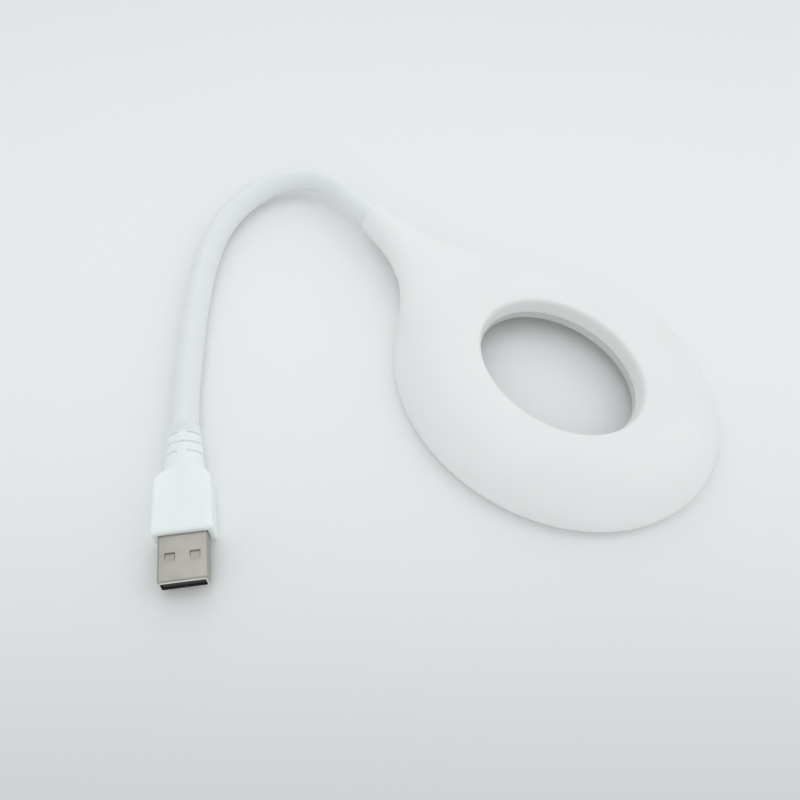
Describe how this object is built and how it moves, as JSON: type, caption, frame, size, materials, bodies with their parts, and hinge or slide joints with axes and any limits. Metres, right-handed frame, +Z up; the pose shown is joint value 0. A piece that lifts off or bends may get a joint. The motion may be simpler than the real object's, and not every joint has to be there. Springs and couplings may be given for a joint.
{
  "type": "usb gooseneck lamp",
  "caption": "Oval ring lamp head on a bendable gooseneck arm that ends in a USB type A plug, lying light side down.",
  "frame": {"origin": "on the table, under the middle of the whole part's box", "axes": "+Z up off the table; +Y from the plug's tip towards its cable end; +X towards the head"},
  "size_m": [0.1508, 0.139, 0.0131],
  "materials": {
    "cover": "satin white moulded plastic",
    "diffuser": "milky translucent plastic",
    "grip": "soft white overmoulding",
    "sleeve": "smooth pale grey-white sleeve",
    "plug_metal": "satin nickel plate",
    "insulator": "dark moulded plastic",
    "contacts": "gold plate",
    "core": "drawn wire",
    "wire_red": "insulated wire",
    "wire_black": "insulated wire",
    "board": "white solder mask",
    "led": "phosphor lens",
    "resistor": "moulded",
    "screw": "zinc plate"
  },
  "bodies": {
    "plug": {"plug_shell": "plug_metal", "plug_insulator": "insulator", "contact_vbus": "contacts", "contact_data_minus": "contacts", "contact_data_plus": "contacts", "contact_ground": "contacts", "plug_carrier": "insulator", "overmold": "grip", "arm_sleeve_1": "sleeve", "arm_core_1": "core", "wire_red_1": "wire_red", "wire_black_1": "wire_black"},
    "arm_link_1": {"arm_sleeve_2": "sleeve", "arm_core_2": "core", "wire_red_2": "wire_red", "wire_black_2": "wire_black"},
    "arm_link_2": {"arm_sleeve_3": "sleeve", "arm_core_3": "core", "wire_red_3": "wire_red", "wire_black_3": "wire_black"},
    "arm_link_3": {"arm_sleeve_4": "sleeve", "arm_core_4": "core", "wire_red_4": "wire_red", "wire_black_4": "wire_black"},
    "arm_link_4": {"arm_sleeve_5": "sleeve", "arm_core_5": "core", "wire_red_5": "wire_red", "wire_black_5": "wire_black"},
    "head": {"arm_sleeve_6": "sleeve", "arm_core_6": "core", "wire_red_6": "wire_red", "wire_black_6": "wire_black", "top_cover": "cover", "diffuser": "diffuser", "neck_cover": "cover", "led_board": "board", "led_01": "led", "led_02": "led", "led_03": "led", "led_04": "led", "led_05": "led", "led_06": "led", "led_07": "led", "led_08": "led", "led_09": "led", "led_10": "led", "led_11": "led", "led_12": "led", "led_13": "led", "led_14": "led", "led_15": "led", "led_16": "led", "resistor_1": "resistor", "resistor_2": "resistor", "board_screw_1": "screw", "board_screw_2": "screw", "board_screw_3": "screw", "neck_screw_1": "screw", "neck_screw_2": "screw", "arm_ferrule": "screw"}
  },
  "joints": [
    {"name": "arm_bend_1", "type": "hinge", "parent": "plug", "child": "arm_link_1", "pos_m": [-0.06725, -0.01327, 0.00384], "axis": [0.9981, -0.0622, 0], "range_deg": [-30, 35]},
    {"name": "arm_bend_2", "type": "hinge", "parent": "arm_link_1", "child": "arm_link_2", "pos_m": [-0.06456, 0.0156, 0.00385], "axis": [0, 0, 1], "range_deg": [-15, 35]},
    {"name": "arm_bend_3", "type": "hinge", "parent": "arm_link_2", "child": "arm_link_3", "pos_m": [-0.05834, 0.04386, 0.00416], "axis": [0.9294, -0.3691, 0], "range_deg": [-30, 35]},
    {"name": "arm_bend_4", "type": "hinge", "parent": "arm_link_3", "child": "arm_link_4", "pos_m": [-0.03919, 0.06454, 0.00562], "axis": [0, 0, 1], "range_deg": [-15, 35]},
    {"name": "arm_bend_5", "type": "hinge", "parent": "arm_link_4", "child": "head", "pos_m": [-0.0152, 0.0538, 0.00709], "axis": [-0.8552, -0.5182, 0], "range_deg": [-35, 35]}
  ]
}
